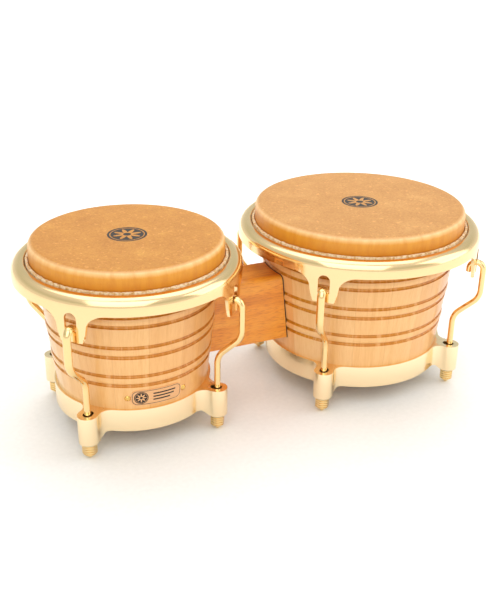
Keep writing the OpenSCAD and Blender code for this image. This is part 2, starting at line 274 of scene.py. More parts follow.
def mix(mat, share, first, second, blend="MIX"):
    """Mixes two colours."""
    inputs = {0: share, 6: first, 7: second}
    return node(mat, "Mix", inputs, data_type="RGBA", blend_type=blend).outputs[2]


def round_axis(mat, x):
    """Angle round the upright axis at x, distance from it and height, as sockets."""
    place = node(mat, "SeparateXYZ", {0: coordinates(mat)}).outputs
    out = calc(mat, "SUBTRACT", place["X"], x * MM)
    angle = calc(mat, "ARCTAN2", place["Y"], out)
    square = calc(mat, "MULTIPLY_ADD", out, out, calc(mat, "MULTIPLY", place["Y"], place["Y"]))
    return angle, calc(mat, "SQRT", square), place["Z"]


def stave_wood(side, name, darker, lighter, line):
    """Lacquered pale hardwood: each stave has its own tone, its grain runs upright in figure
    of about 5 mm and fibres of 0.7 mm, and a thin dark line shows where staves are glued."""
    staves = {"small": 15, "large": 18}[side]
    mat = material(name, Roughness=0.42)
    angle, _, height = round_axis(mat, axis_x(side))
    # staves are counted round the axis, and the grain is laid out at the shell's mean radius
    count = calc(mat, "MULTIPLY", angle, staves / (2 * math.pi))
    index = calc(mat, "FLOOR", count)
    across = calc(mat, "MULTIPLY", angle, head_r(side) * 0.9 * MM)
    along = calc(mat, "MULTIPLY", height, 0.05)
    grain_place = node(mat, "CombineXYZ", {0: across, 1: index, 2: along}).outputs[0]
    figure = noise(mat, grain_place, 190.0, 5.0, 0.6)
    fibres = noise(mat, grain_place, 1500.0, 2.0, 0.6)
    colour = tones(mat, figure, [(0.25, darker), (0.5, lighter), (0.78, "#F8D298")])
    fibre_tone = tones(mat, fibres, [(0.3, "#EBCFAE"), (0.6, "#FFFFFF")])
    colour = mix(mat, 0.4, colour, fibre_tone, "MULTIPLY")
    own = node(mat, "TexWhiteNoise", {"W": index}, noise_dimensions="1D").outputs["Value"]
    own_tone = tones(mat, own, [(0.0, "#F0CDA2"), (0.5, "#FBE6CC"), (1.0, "#FFFFFF")])
    colour = mix(mat, 0.8, colour, own_tone, "MULTIPLY")
    # the glue line takes the outermost part of a stave's half width, counted from its middle
    glue_from, glue_strength = 0.4925, 0.3
    edge = calc(mat, "ABSOLUTE", calc(mat, "SUBTRACT", calc(mat, "FRACT", count), 0.5))
    joint = calc(mat, "GREATER_THAN", edge, glue_from)
    colour = mix(mat, calc(mat, "MULTIPLY", joint, glue_strength), colour, srgb(line))
    shade(mat, Base_Color=colour, Coat_Weight=0.5, Coat_Roughness=0.12)
    bump(mat, fibres, 0.00006)
    return mat


ring_top, shell_foot, inset, flare = 47, 27, 17.5, 0.1036


def shell_r(side, z):
    """Outside radius of a shell at a height: inset from the head's at the bottom ring's top,
    and wider by the flare for each mm above it."""
    return head_r(side) - inset + flare * (z - ring_top)


groove_pairs = [(73.4, 83.6), (104.8, 115.4), (137.4, 147.6)]
groove_r, bead_h = 1.8, 0.7


def in_groove(side, centre):
    """Whether a point of the shell's skin lies in a groove, and not on its inside wall."""
    out = math.hypot(centre.x - axis_x(side) * MM, centre.y) / MM
    skin = 4
    middles = [z * MM for pair in groove_pairs for z in pair]
    near = min(abs(centre.z - z) for z in middles) < groove_r * MM
    return near and out > shell_r(side, centre.z / MM) - skin


for side in SIDES:
    top, edge_round, wall, rebate = 193.4, 5, 12, 1.2
    foot_r = shell_r(side, ring_top)
    section = [(shell_r(side, shell_foot) - wall, shell_foot), (foot_r - rebate, shell_foot)]
    section += [(foot_r - rebate, ring_top), (foot_r, ring_top)]
    # up the outside: each groove is a half round, and a low bead swells between a pair
    for lower, upper in groove_pairs:
        for z in (lower, upper):
            section += arc(shell_r(side, z), z, groove_r, 265, 95, 8)
            if z == lower:
                swell = upper - lower - 2 * groove_r
                for i in range(1, 8):
                    z1 = lower + groove_r + swell * i / 8
                    bead = bead_h * math.sin(math.pi * i / 8)
                    section.append((shell_r(side, z1) + bead, z1))
    edge_r = shell_r(side, top - edge_round) - edge_round
    section += arc(edge_r, top - edge_round, edge_round, 0, 90, 6)
    section += [(shell_r(side, top) - wall, top)]
    shell = turn(side + "_stave_shell", section, axis_x(side), 256)
    staves = stave_wood(side, side + "_lacquered_staves", "#ECBD7A", "#F5CB8F", "#C98A4A")
    # the grooves take a darker, more orange copy of the wood: painted shade in their hollows
    groove_shade_wood = stave_wood(side, side + "_grooves_painted_shade", "#C27F14", "#D6941F", "#A06A12")
    dress(shell, staves, groove_shade_wood)
    # faces inside a groove get the second slot, the painted groove shade
    for face in shell.data.polygons:
        face.material_index = int(in_groove(side, face.center))
    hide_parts(side + "_shell")
    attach(shell, "root")


# ---- Heads ----
# A rawhide skin over each shell, wetted and drawn down: a flat disc, a rounded edge and a
# collar that goes down to the flesh hoop. A plain rosette is printed at its centre.
def between(mat, value, low, high):
    """1 where a value lies between two others."""
    above = calc(mat, "GREATER_THAN", value, low)
    return calc(mat, "MULTIPLY", above, calc(mat, "LESS_THAN", value, high))


def rosette(mat, distance, angle, radius):
    """A printed round: a filled disc with a bare ring and eight bare petals."""
    share = calc(mat, "DIVIDE", distance, radius * MM)
    filled = calc(mat, "LESS_THAN", share, 1.0)
    ring = between(mat, share, 0.83, 0.88)
    wave = calc(mat, "COSINE", calc(mat, "MULTIPLY", angle, 8.0))
    petal_end = calc(mat, "MULTIPLY_ADD", wave, 0.22, 0.5)
    petal = calc(mat, "LESS_THAN", share, petal_end)
    heart = calc(mat, "LESS_THAN", share, 0.2)
    bare = calc(mat, "MAXIMUM", ring, calc(mat, "SUBTRACT", petal, heart))
    return calc(mat, "MULTIPLY", filled, calc(mat, "SUBTRACT", 1.0, bare))


head_top, collar_foot, print_r = 195.4, 165, 19.2


def rawhide(side, disc_dark, disc_light, edge):
    """Stretched rawhide: a dull gloss, cloudy and speckled on the disc, with pale scars. The
    collar has upright streaks, painted shade that darkens it towards the rim, and a painted
    highlight that turns it pale at the rounded edge."""
    mat = material(side + "_stretched_rawhide", Roughness=0.46)
    place = coordinates(mat)
    angle, distance, height = round_axis(mat, axis_x(side))

    # the disc: clouds of about 33 mm, specks of 2 mm and pale scars of 3 mm
    clouds = noise(mat, place, 30.0, 8.0, 0.7)
    specks = noise(mat, place, 520.0, 3.0, 0.7)
    disc = tones(mat, clouds, [(0.3, disc_dark), (0.55, disc_light), (0.75, edge)])
    speck_tone = tones(mat, specks, [(0.34, "#DDB98C"), (0.5, "#F4E6D4"), (0.66, "#FFFFFF")])
    disc = mix(mat, 0.6, disc, speck_tone, "MULTIPLY")
    pale = tones(mat, noise(mat, place, 300.0, 2.0, 0.5), [(0.63, "#000000"), (0.7, "#7A6040")])
    disc = mix(mat, 0.8, disc, pale, "ADD")

    # the collar: its tones go by height, with painted shade deep orange towards the rim and a
    # painted highlight pale near the rounded edge, made uneven by upright streaks of about 7 mm
    around = calc(mat, "MULTIPLY", angle, head_r(side) * MM)
    streak_place = node(mat, "CombineXYZ", {0: around, 2: calc(mat, "MULTIPLY", height, 0.25)})
    streaks = noise(mat, streak_place.outputs[0], 150.0, 7.0, 0.68)
    limits = {"Value": height, "From Min": collar_foot * MM, "From Max": head_top * MM}
    share = node(mat, "MapRange", limits).outputs[0]
    wavy = calc(mat, "MULTIPLY_ADD", calc(mat, "SUBTRACT", streaks, 0.5), 0.07, share)
    # painted light: the low orange stops are painted shade under the rim, the pale top stops a
    # painted highlight on the rounded edge
    collar_shade_highlight_stops = [(0.3, "#C0730A"), (0.5, "#D6870D"), (0.78, "#E29A2C")]
    collar_shade_highlight_stops += [(0.88, "#F0BA70"), (0.94, "#F6C98E")]
    collar = tones(mat, wavy, collar_shade_highlight_stops)
    streak_tone = tones(mat, streaks, [(0.3, "#E0B884"), (0.58, "#FFFFFF")])
    collar = mix(mat, 0.4, collar, streak_tone, "MULTIPLY")

    # both meet on the rounded edge, and the print lies over the disc
    on_disc = node(mat, "MapRange", {"Value": share, "From Min": 0.93, "From Max": 0.995})
    colour = mix(mat, on_disc.outputs[0], collar, disc)
    printed = rosette(mat, distance, angle, print_r)
    colour = mix(mat, calc(mat, "MULTIPLY", printed, 0.97), colour, srgb("#0E0E12"))
    shade(mat, Base_Color=colour, Coat_Weight=0.12, Coat_Roughness=0.35)
    pores = calc(mat, "MULTIPLY_ADD", specks, 0.5, clouds)
    bump(mat, calc(mat, "MULTIPLY_ADD", streaks, 0.3, pores), 0.0003, 0.6)
    return mat


heads = {}
head_tones = {
    "small": ("#C2832D", "#CF9039", "#DDA348"),
    "large": ("#C68E48", "#D19953", "#DDA964"),
}
for side in SIDES:
    radius, edge_round, hide, middle_r = head_r(side), 6, 1.8, 0.4
    flat_r, collar_top = radius - edge_round, head_top - edge_round
    collar_h = collar_top - collar_foot
    # up the collar, over the edge, in to the middle, and back along the underside
    section = [(radius, collar_foot + collar_h * i / 8) for i in range(9)]
    section += arc(flat_r, collar_top, edge_round, 0, 90, 12)[1:]
    section += [(flat_r * (1 - i / 28), head_top) for i in range(1, 28)]
    section += [(middle_r, head_top), (middle_r, head_top - hide)]
    section += [(flat_r * 0.5, head_top - hide)]
    section += arc(flat_r, collar_top, edge_round - hide, 90, 0, 8)
    section += [(radius - hide, collar_foot)]
    bpy.ops.object.select_all(action="DESELECT")
    head = turn(side + "_rawhide_head", section, axis_x(side), 224)
    dress(head, rawhide(side, *head_tones[side]))
    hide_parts(side + "_head")
    heads[side] = head


# ---- Hide tucks ----
# The skin's border, wrapped round the steel flesh hoop below the rim's lip. Its cut edge
# stands up beside the collar, pale, rough and a little uneven.
def tuck_hide():
    """Cut rawhide: matt, pale and fibrous, in patches of about 4 mm and fibres of 0.7 mm."""
    mat = material("cut_rawhide_edge", Roughness=0.7)
    place = coordinates(mat)
    coarse = noise(mat, place, 260.0, 5.0, 0.7)
    fine = noise(mat, place, 1400.0, 3.0, 0.7)
    colour = tones(mat, coarse, [(0.3, "#C68B3E"), (0.44, "#E6BE82"), (0.56, "#FBEBCB")])
    fibre_tone = tones(mat, fine, [(0.3, "#C99B5C"), (0.6, "#FFFFFF")])
    shade(mat, Base_Color=mix(mat, 0.5, colour, fibre_tone, "MULTIPLY"))
    bump(mat, fine, 0.0006)
    return mat


cut_hide = tuck_hide()
for side in SIDES:
    wrap, wrap_gap, hoop_z, cut_top, collar_run = 3.4, 0.4, 166.5, 177.4, 31
    hoop_at = head_r(side) + wrap_gap + wrap
    edge_in, edge_out = head_r(side) + 0.45, head_r(side) + 3.1
    # round the hoop, up the cut edge's inside, and down its outside
    section = arc(hoop_at, hoop_z, wrap, 118, -222, 24)
    section += [(edge_in, hoop_z + 4.5), (edge_in, cut_top - 0.6), (edge_in + 0.5, cut_top)]
    section += [(edge_out - 0.5, cut_top), (edge_out, cut_top - 0.6), (edge_out, hoop_z + 4.2)]
    tuck = turn(side + "_hide_tuck_edge", section, axis_x(side), 288)
    bpy.ops.object.mode_set(mode="EDIT")
    bpy.ops.mesh.select_all(action="DESELECT")
    mesh = bmesh.from_edit_mesh(tuck.data)
    for vertex in mesh.verts:
        vertex.select_set(vertex.co.z > (cut_top - 0.8) * MM)
    mesh.select_flush(True)
    # the knife leaves the edge uneven by less than half a millimetre
    bpy.ops.transform.vertex_random(offset=0.0004, seed=7)
    bpy.ops.object.mode_set(mode="OBJECT")
    dress(tuck, cut_hide)
    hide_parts(side + "_hide_tuck")
    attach(tuck, side + "_rim_set")

    head = heads[side]
    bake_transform(head)
    flat_r = (head_r(side) + collar_run) * MM


# ---- Tuning rims ----
# Pressed steel rings, polished and gold plated: a rolled inner lip, a broad rounded shoulder,
# and a skirt with four ears, each slotted for a rod's hook and dished below its slot.
def polished_gold(name, roughness, colour="#FBDCA6", wear=0.05):
    """Gold plate on metal, mirror-like, with faint smears of about 35 mm in its polish."""
    mat = material(name, Metallic=1.0)
    smears = noise(mat, coordinates(mat), 28.0, 4.0, 0.6)
    limits = {"Value": smears, "From Min": 0.3, "From Max": 0.7}
    limits |= {"To Min": roughness, "To Max": roughness + wear}
    shade(mat, Base_Color=srgb(colour), Roughness=node(mat, "MapRange", limits).outputs[0])
    return mat


def cut(obj, tool, operation="DIFFERENCE"):
    """Cuts a piece with a tool, or keeps what they share, and takes the tool away."""
    bpy.ops.object.select_all(action="DESELECT")
    bpy.context.view_layer.objects.active = obj
    change = obj.modifiers.new("cut", "BOOLEAN")
    change.object = tool
    change.operation = operation
    change.solver = "EXACT"
    bpy.ops.object.modifier_apply(modifier="cut")
    bpy.data.objects.remove(tool)


def soften(obj, width, segments=2, degrees=40):
    """Rounds the sharp edges of a piece by a width in mm."""
    bpy.ops.object.select_all(action="DESELECT")
    bpy.context.view_layer.objects.active = obj
    bevel = obj.modifiers.new("soften", "BEVEL")
    bevel.width = width * MM
    bevel.segments = segments
    bevel.limit_method = "ANGLE"
    bevel.angle_limit = math.radians(degrees)
    bpy.ops.object.modifier_apply(modifier="soften")


def panel(rows, near, far):
    """An upright panel from radius near to far; rows are (half width, height) in mm."""
    bpy.ops.mesh.primitive_grid_add(x_subdivisions=1, y_subdivisions=len(rows) - 1, size=2)
    obj = bpy.context.object
    for vertex in obj.data.vertices:
        half, height = rows[round((vertex.co.y + 1) / 2 * (len(rows) - 1))]
        vertex.co = (near * MM, math.copysign(half, vertex.co.x) * MM, height * MM)
    bpy.ops.object.mode_set(mode="EDIT")
    bpy.ops.mesh.select_all(action="SELECT")
    depth = ((far - near) * MM, 0, 0)
    bpy.ops.mesh.extrude_region_move(TRANSFORM_OT_translate={"value": depth})
    bpy.ops.mesh.select_all(action="SELECT")
    bpy.ops.mesh.normals_make_consistent(inside=False)
    bpy.ops.object.mode_set(mode="OBJECT")
    return obj


def four_round(obj, x):
    """Sets a tool made about the origin at the four rod places of the drum at x."""
    bpy.ops.object.mode_set(mode="EDIT")
    bpy.ops.mesh.select_all(action="SELECT")
    quarter = {"orient_axis": "Z", "center_override": (0, 0, 0)}
    bpy.ops.transform.rotate(value=-math.pi / 4, **quarter)
    for _ in range(3):
        bpy.ops.mesh.duplicate()
        bpy.ops.transform.rotate(value=-math.pi / 2, **quarter)
    bpy.ops.mesh.select_all(action="SELECT")
    bpy.ops.transform.translate(value=(x * MM, 0, 0))
    bpy.ops.object.mode_set(mode="OBJECT")
    return obj


rim_gold = polished_gold("polished_gold_plate", 0.13)
for side in SIDES:
    out, lip_in = head_r(side) + 17.5, head_r(side) + 4.5
    top, lip_z, skirt, ear_z, sheet_t, shoulder = 176.4, 170, 160.4, 132.4, 3, 9
    shoulder_x, shoulder_z = out - shoulder, top - shoulder
    # up the skirt, over the shoulder to the lip, and back along the sheet's inside
    section = [(out, ear_z), (out, skirt)] + arc(shoulder_x, shoulder_z, shoulder, 0, 90, 14)
    section += arc(lip_in + 1.5, top - 1.5, 1.5, 90, 180, 6)
    section += [(lip_in, lip_z), (lip_in + sheet_t, lip_z), (lip_in + sheet_t, top - sheet_t)]
    section += arc(shoulder_x, shoulder_z, shoulder - sheet_t, 90, 0, 10)
    section += [(out - sheet_t, skirt), (out - sheet_t, ear_z)]
    rim = turn(side + "_tuning_rim", section, axis_x(side), 256)

    # below the skirt all but the ears is cut away; an ear's rows are (half width, height):
    # small steps at its foot, a neck, and a sweep into the skirt
    neck, sweep_w, sweep_h = 14.6, 18, 14
    gap_in, gap_out = out - sheet_t - 2, out + 2
    gap = [(gap_in, ear_z - 2), (gap_out, ear_z - 2), (gap_out, skirt), (gap_in, skirt)]
    gaps = turn("gaps", gap, axis_x(side), 256)
    ear = [(11, ear_z - 4), (11, ear_z + 1.2), (11.9, ear_z + 1.8), (11.8, ear_z + 3.8)]
    ear += [(12.8, ear_z + 4.4), (12.7, ear_z + 7.0), (13.6, ear_z + 7.6)]
    for degrees in (0, 15, 30, 45, 60, 72, 82, 88):
        out_by = sweep_w * (1 - math.cos(math.radians(degrees)))
        ear.append((neck + out_by, skirt - sweep_h + sweep_h * math.sin(math.radians(degrees))))
    ear += [(neck + sweep_w + 2, skirt + 3)]
    cut(gaps, four_round(panel(ear, out - 30, out + 30), axis_x(side)))
    cut(rim, gaps)

    # the slot has a round top, and the dish below it takes the rod's hook
    slot_low, slot_high, slot_half, dish_half, dish = 142.2, 161, 6, 5.2, 0.9
    slot_rows = [(slot_half, slot_low)]
    slot_rows += arc(0, slot_high - slot_half, slot_half, 0, 86, 7)
    cut(rim, four_round(panel(slot_rows, out - 12, out + 12), axis_x(side)))
    dish_rows = [(dish_half, ear_z - 2), (dish_half, slot_low + 0.6)]
    cut(rim, four_round(panel(dish_rows, out - dish, out + 12), axis_x(side)))
    soften(rim, 0.45)
    smooth(rim, 35)
    dress(rim, rim_gold)
    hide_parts(side + "_rim")
    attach(rim, side + "_rim_set")


# ---- Tuning rods ----
# Cold-bent steel rods, polished and gold plated. Each hooks over an ear of the rim, steps in
# towards the shell and passes through a boss of the bottom ring. The hook is pressed wider.
def placed_copy(source, name, x, angle):
    """A copy with its own mesh, turned about the upright axis and set at x."""
    obj = source.copy()
    obj.data = source.data.copy()
    obj.name = obj.data.name = name
    bpy.context.scene.collection.objects.link(obj)
    obj.rotation_euler.z = math.radians(angle)
    obj.location.x = x * MM
    apply_transforms(obj)
    return obj


ROD_ANGLES = (45, 135, 225, 315)


def rod_r(side):
    """How far a rod's foot, its boss and its nut stand from the drum's axis, in mm."""
    return head_r(side) - 0.6


def reach(x, z, widen=1.0, thin=1.0):
    """Draws the rod on by a step, and widens or thins its section."""
    bpy.ops.mesh.extrude_region_move(TRANSFORM_OT_translate={"value": (x * MM, 0, z * MM)})
    bpy.ops.transform.resize(value=(thin, widen, thin))


def bend(x, z, degrees, way):
    """Bends the rod on round (x, z), outwards or inwards."""
    bpy.ops.mesh.spin(
        steps=round(degrees / 4),
        angle=math.radians(degrees),
        center=(x * MM, 0, z * MM),
        axis=(0, way, 0),
    )


rod_gold = polished_gold("gold_plated_rod", 0.12, "#FADA9E")
for side in SIDES:
    low_r, top_r, hook_r, bend_r, step = rod_r(side), head_r(side) + 24.9, 7.2, 20, 46
    thick, wide = 3.1, 4.0
    hook_z, bend_z, tail, end = 138.9, 115.4, 4, 8.5
    step_turn = math.radians(step)
    bend_in, bend_drop = bend_r * (1 - math.cos(step_turn)), bend_r * math.sin(step_turn)
    slant = (top_r - low_r - 2 * bend_in) / math.sin(step_turn)
    low_z = bend_z - 2 * bend_drop - slant * math.cos(step_turn)
    start = ((top_r - 2 * hook_r) * MM, 0, (hook_z - tail) * MM)
    bpy.ops.mesh.primitive_circle_add(
        vertices=28, radius=thick * MM, fill_type="NGON", location=start
    )
    rod = bpy.context.object
    bpy.ops.object.mode_set(mode="EDIT")
    bpy.ops.mesh.select_all(action="SELECT")
    bpy.ops.transform.resize(value=(0.8, 0.8 * wide / thick, 1))
    # the hook's end has a rounded rim; from it the rod goes up, over and down the outside
    reach(0, 0.6, 1.25, 1.25)
    reach(0, tail - 0.6)
    bend(top_r - hook_r, hook_z, 180, -1)
    reach(0, bend_z - hook_z)
    bend(top_r - bend_r, bend_z, step, -1)
    # the rod narrows to its round section in five steps down the slant
    along = slant / 5
    for _ in range(5):
        reach(-along * math.sin(step_turn), -along * math.cos(step_turn), 0.95)
    bend(low_r + bend_r, low_z, step, 1)
    reach(0, end - low_z)
    bpy.ops.mesh.select_all(action="SELECT")
    bpy.ops.mesh.normals_make_consistent(inside=False)
    bpy.ops.object.mode_set(mode="OBJECT")
    smooth(rod)
    for i, angle in enumerate(ROD_ANGLES):
        piece = placed_copy(rod, f"{side}_tuning_rod_{i + 1}", axis_x(side), angle)
        dress(piece, rod_gold)
        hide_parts(f"{side}_rod_{i + 1}")
        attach(piece, side + "_rim_set")
    bpy.data.objects.remove(rod)


# ---- Bottom rings ----
# Cast metal rings, gold plated to a satin finish, round the foot of each shell. Four bosses
# stand out on wide fillets for the rods, and the lower edge arches up between them.
def ring_r(side):
    """Outside radius of a bottom ring between its bosses, in mm."""
    return shell_r(side, ring_top) + 2.6


def ring_outline(side):
    """A quarter of the outline seen from above, the boss in its middle, as (x, y) in mm."""
    boss_x, boss, fillet = rod_r(side), 10, 12
    to_axis, to_boss = ring_r(side) + fillet, boss + fillet
    fx = (to_axis**2 - to_boss**2 + boss_x**2) / (2 * boss_x)
    fy = math.sqrt(to_axis**2 - fx**2)
    at_boss = math.degrees(math.atan2(fy, fx - boss_x))
    at_ring = math.degrees(math.atan2(fy, fx))
    half = arc(boss_x, 0, boss, 0, at_boss, 14)
    half += arc(fx, fy, fillet, at_boss + 180, at_ring + 180, 10)[1:]
    half += arc(0, 0, ring_r(side), at_ring, 45, 12)[1:]
    return [(x, -y) for x, y in reversed(half[1:])] + half[:-1]


def underside(side, x, y):
    """Height of the casting's underside: down at the bosses, arched up between them."""
    boss_foot, arch_top, rise_from, slope = 17.4, 24, 9.4, 1.1
    turns = [math.radians(angle) for angle in ROD_ANGLES]
    bosses = [(rod_r(side) * math.cos(t), rod_r(side) * math.sin(t)) for t in turns]
    near = min(math.dist((x, y), boss) for boss in bosses)
    return min(arch_top, max(boss_foot, boss_foot + (near - rise_from) / slope))


def circle_of(outline, radius):
    """The outline drawn in to a circle, point by point."""
    return [(radius * x / math.hypot(x, y), radius * y / math.hypot(x, y)) for x, y in outline]


def under_ring(side, outline, share):
    """A ring on the underside, a share of the way out from inside the skirt to the outline."""
    pairs = zip(circle_of(outline, ring_r(side) - 3), outline)
    ring = [(a + (c - a) * share, b + (d - b) * share) for (a, b), (c, d) in pairs]
    return [(x, y, underside(side, x, y)) for x, y in ring]


def satin_casting():
    """Plated casting: a soft gloss over the sand-cast skin, uneven by about 1 mm and 17 mm."""
    mat = material("satin_gold_casting", Metallic=1.0)
    place = coordinates(mat)
    skin = noise(mat, place, 900.0, 3.0, 0.6)
    waves = noise(mat, place, 60.0, 3.0, 0.5)
    limits = {"Value": waves, "From Min": 0.3, "From Max": 0.7, "To Min": 0.2, "To Max": 0.27}
    shade(mat, Base_Color=srgb("#FDE7BE"), Roughness=node(mat, "MapRange", limits).outputs[0])
    bump(mat, skin, 0.00002, 0.25)
    return mat


casting = satin_casting()
for side in SIDES:
    quarter = ring_outline(side)
    outline = []
    for angle in ROD_ANGLES:
        turn_by = Matrix.Rotation(math.radians(angle), 2)
        outline += [tuple(turn_by @ Vector(point)) for point in quarter]
    # up the outside, down the seat round the shell's foot, and out along the underside
    lip_z = 24
    seat, hole = shell_r(side, ring_top) - 1.1, shell_r(side, lip_z) - 13
    rings = [under_ring(side, outline, 1), [(x, y, ring_top) for x, y in outline]]
    for r, z in ((seat, ring_top), (seat, shell_foot), (hole, shell_foot), (hole, lip_z)):
        rings.append([(x, y, z) for x, y in circle_of(outline, r)])
    rings += [under_ring(side, outline, share) for share in (0, 0.2, 0.4, 0.6, 0.8)]
    bpy.ops.mesh.primitive_circle_add(vertices=len(outline), radius=ring_r(side) * MM)
    ring = bpy.context.object
    ring.name = ring.data.name = side + "_bottom_casting"
    bpy.ops.object.mode_set(mode="EDIT")
    bpy.ops.mesh.select_all(action="SELECT")
    for number, points in enumerate(rings):
        if number:
            bpy.ops.mesh.extrude_region_move()
        mesh = bmesh.from_edit_mesh(ring.data)
        mesh.verts.ensure_lookup_table()
        for vertex, (x, y, z) in zip(mesh.verts[-len(outline) :], points):
            vertex.co = ((x + axis_x(side)) * MM, y * MM, z * MM)
        bmesh.update_edit_mesh(ring.data)
    bpy.ops.mesh.select_all(action="DESELECT")
    bpy.ops.mesh.select_non_manifold()
    bpy.ops.mesh.bridge_edge_loops()
    bpy.ops.mesh.select_all(action="SELECT")
    bpy.ops.mesh.normals_make_consistent(inside=False)
    bpy.ops.object.mode_set(mode="OBJECT")

    # the hole through each boss is long towards the axis, and lets its rod lean in
    place, hole_r, lean = (rod_r(side) * MM, 0, 32 * MM), 4.6, 2.6
    bpy.ops.mesh.primitive_cylinder_add(
        vertices=32, radius=hole_r * MM, depth=50 * MM, location=place
    )
    drill = bpy.context.object
    apply_transforms(drill)
    for vertex in drill.data.vertices:
        if vertex.co.x < place[0]:
            vertex.co.x -= lean * MM
    cut(ring, four_round(drill, axis_x(side)))
    soften(ring, 0.9, 3, 50)
    smooth(ring, 35)
    dress(ring, casting)
    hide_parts(side + "_bottom_ring")
    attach(ring, "root")


# ---- Boss washers ----
# Thin plain washers, stamped from steel and dark with oil. One lies between each tuning nut
# and the boss above it, loose round the rod.
def worn_steel(name, colour, roughness):
    """Plain or zinc-plated steel: a dull gloss, uneven in marks of about 2 mm."""
    mat = material(name, Metallic=1.0)
    marks = noise(mat, coordinates(mat), 500.0, 4.0, 0.7)
    limits = {"Value": marks, "From Min": 0.3, "From Max": 0.7}
    limits |= {"To Min": roughness - 0.08, "To Max": roughness + 0.1}
    shade(mat, Base_Color=srgb(colour), Roughness=node(mat, "MapRange", limits).outputs[0])
    bump(mat, marks, 0.00003)
    return mat


washer_steel = worn_steel("oiled_steel_washer", "#6E6458", 0.4)
for side in SIDES:
    section = [(3.6, 16.4), (8.2, 16.4), (8.4, 16.6), (8.4, 17.2), (8.2, 17.4), (3.6, 17.4)]
    washer = turn("washer", section, rod_r(side), 48)
    for i, angle in enumerate(ROD_ANGLES):
        piece = placed_copy(washer, f"{side}_boss_washer_{i + 1}", axis_x(side), angle)
        dress(piece, washer_steel)
        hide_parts(side + "_boss_washers")
        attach(piece, "root")
    bpy.data.objects.remove(washer)


# ---- Tuning nuts ----
# Closed hexagon nuts, turned with four narrow rings, gold plated. Each ends in a cone and a
# small nipple that the drums stand on, and takes its rod's thread in a blind bore.
nut_gold = polished_gold("gold_plated_nut", 0.16, "#F8DA9C")
# how far each nut is turned about its own axis, as tuning leaves them
nut_turns = (8, 22, 30, 12)
for side in SIDES:
    corner, groove, bore, bore_end, nut_top = 7.33, 5.9, 3.25, 4.2, 16.3
    # up the bore, down the outside past the turned rings, and along the cone to the nipple
    section = [(0.05, bore_end), (bore, bore_end), (bore, nut_top)]
    section += [(corner - 0.7, nut_top), (corner, 15.7)]
    for z in (13.8, 11.2, 8.6, 6.0):
        section += [(corner, z + 0.7), (groove, z + 0.65), (groove, z + 0.05), (corner, z)]
    section += [(corner, 5.8), (2.5, 1.6), (2.2, 1.0), (1.6, 0.25), (1.3, 0.0), (0.05, 0.0)]
    for i, angle in enumerate(ROD_ANGLES):
        nut = turn(f"{side}_tuning_nut_{i + 1}", section, rod_r(side), 48, solid=True)
        centre = (rod_r(side) * MM, 0, 9 * MM)
        bpy.ops.mesh.primitive_cylinder_add(
            vertices=6, radius=corner * MM, depth=30 * MM, location=centre
        )
        hexagon = bpy.context.object
        hexagon.rotation_euler.z = math.radians(nut_turns[i])
        apply_transforms(hexagon)
        cut(nut, hexagon, "INTERSECT")
        soften(nut, 0.15, 2, 30)
        nut.rotation_euler.z = math.radians(angle)
        nut.location.x = axis_x(side) * MM
        smooth(nut, 30)
        dress(nut, nut_gold)
        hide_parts(f"{side}_nut_{i + 1}")
        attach(nut, f"{side}_nut_{i + 1}")


# ---- Centre block ----
# A bar of reddish hardwood between the drums, its grain along its length, its upper edges
# rounded and its ends hollowed to the shells. It is oiled and lacquered.
def drawn_out(mat, share):
    """Coordinates in which a pattern is drawn out along X, its sizes there divided by a share."""
    return node(mat, "Mapping", {0: coordinates(mat), "Scale": (share, 1, 1)}).outputs[0]


def block_wood():
    """Oiled red hardwood: a silky gloss, figure of about 8 mm, and dark pores of 0.8 mm."""
    mat = material("oiled_red_hardwood", Roughness=0.4)
    figure = noise(mat, drawn_out(mat, 0.06), 120.0, 5.0, 0.6)
    pores = noise(mat, drawn_out(mat, 0.1), 1300.0, 2.0)
    colour = tones(mat, figure, [(0.25, "#D87C14"), (0.48, "#F09728"), (0.7, "#FAAC3C")])
    pore_tone = tones(mat, pores, [(0.36, "#CF9B62"), (0.5, "#FFFFFF")])
    colour = mix(mat, 0.5, colour, pore_tone, "MULTIPLY")
    shade(mat, Base_Color=colour, Coat_Weight=0.4, Coat_Roughness=0.2)
    bump(mat, pores, 0.00008)
    return mat


low, high = (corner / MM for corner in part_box("centre_block"))
centre = ((axis_x("small") + axis_x("large")) / 2 * MM, 0, (low.z + high.z) / 2 * MM)
bpy.ops.mesh.primitive_cube_add(size=1, location=centre)
block = bpy.context.object
block.name = block.data.name = "hardwood_centre_block"
span = axis_x("large") - axis_x("small")
block.scale = (span * MM, (high.y - low.y) * MM, (high.z - low.z) * MM)
apply_transforms(block)


def bevel_along(obj, height, width, segments):
    """Rounds the edges that run along X at a height, by a width in mm."""
    bpy.context.view_layer.objects.active = obj
    bpy.ops.object.mode_set(mode="EDIT")
    bpy.ops.mesh.select_all(action="DESELECT")
    mesh = bmesh.from_edit_mesh(obj.data)
    for edge in mesh.edges:
        a, b = (vertex.co for vertex in edge.verts)
        level = max(abs(end.z - height * MM) for end in (a, b)) < MM
        edge.select_set(level and abs(a.x - b.x) > abs(a.y - b.y))
    bpy.ops.mesh.bevel(offset=width * MM, segments=segments, affect="EDGES")
    bpy.ops.object.mode_set(mode="OBJECT")


bevel_along(block, high.z, 5, 6)
bevel_along(block, low.z, 1, 2)
# the ends are hollowed by cones as wide as the shells and their gaskets
gasket, cone_top = 0.8, 180
for side in SIDES:
    cone = [(0.05, ring_top), (shell_r(side, ring_top) + gasket, ring_top)]
    cone += [(shell_r(side, cone_top) + gasket, cone_top), (0.05, cone_top)]
    cut(block, turn("cone", cone, axis_x(side), 256, solid=True))
smooth(block, 35)
dress(block, block_wood())
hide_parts("centre_block")
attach(block, "root")


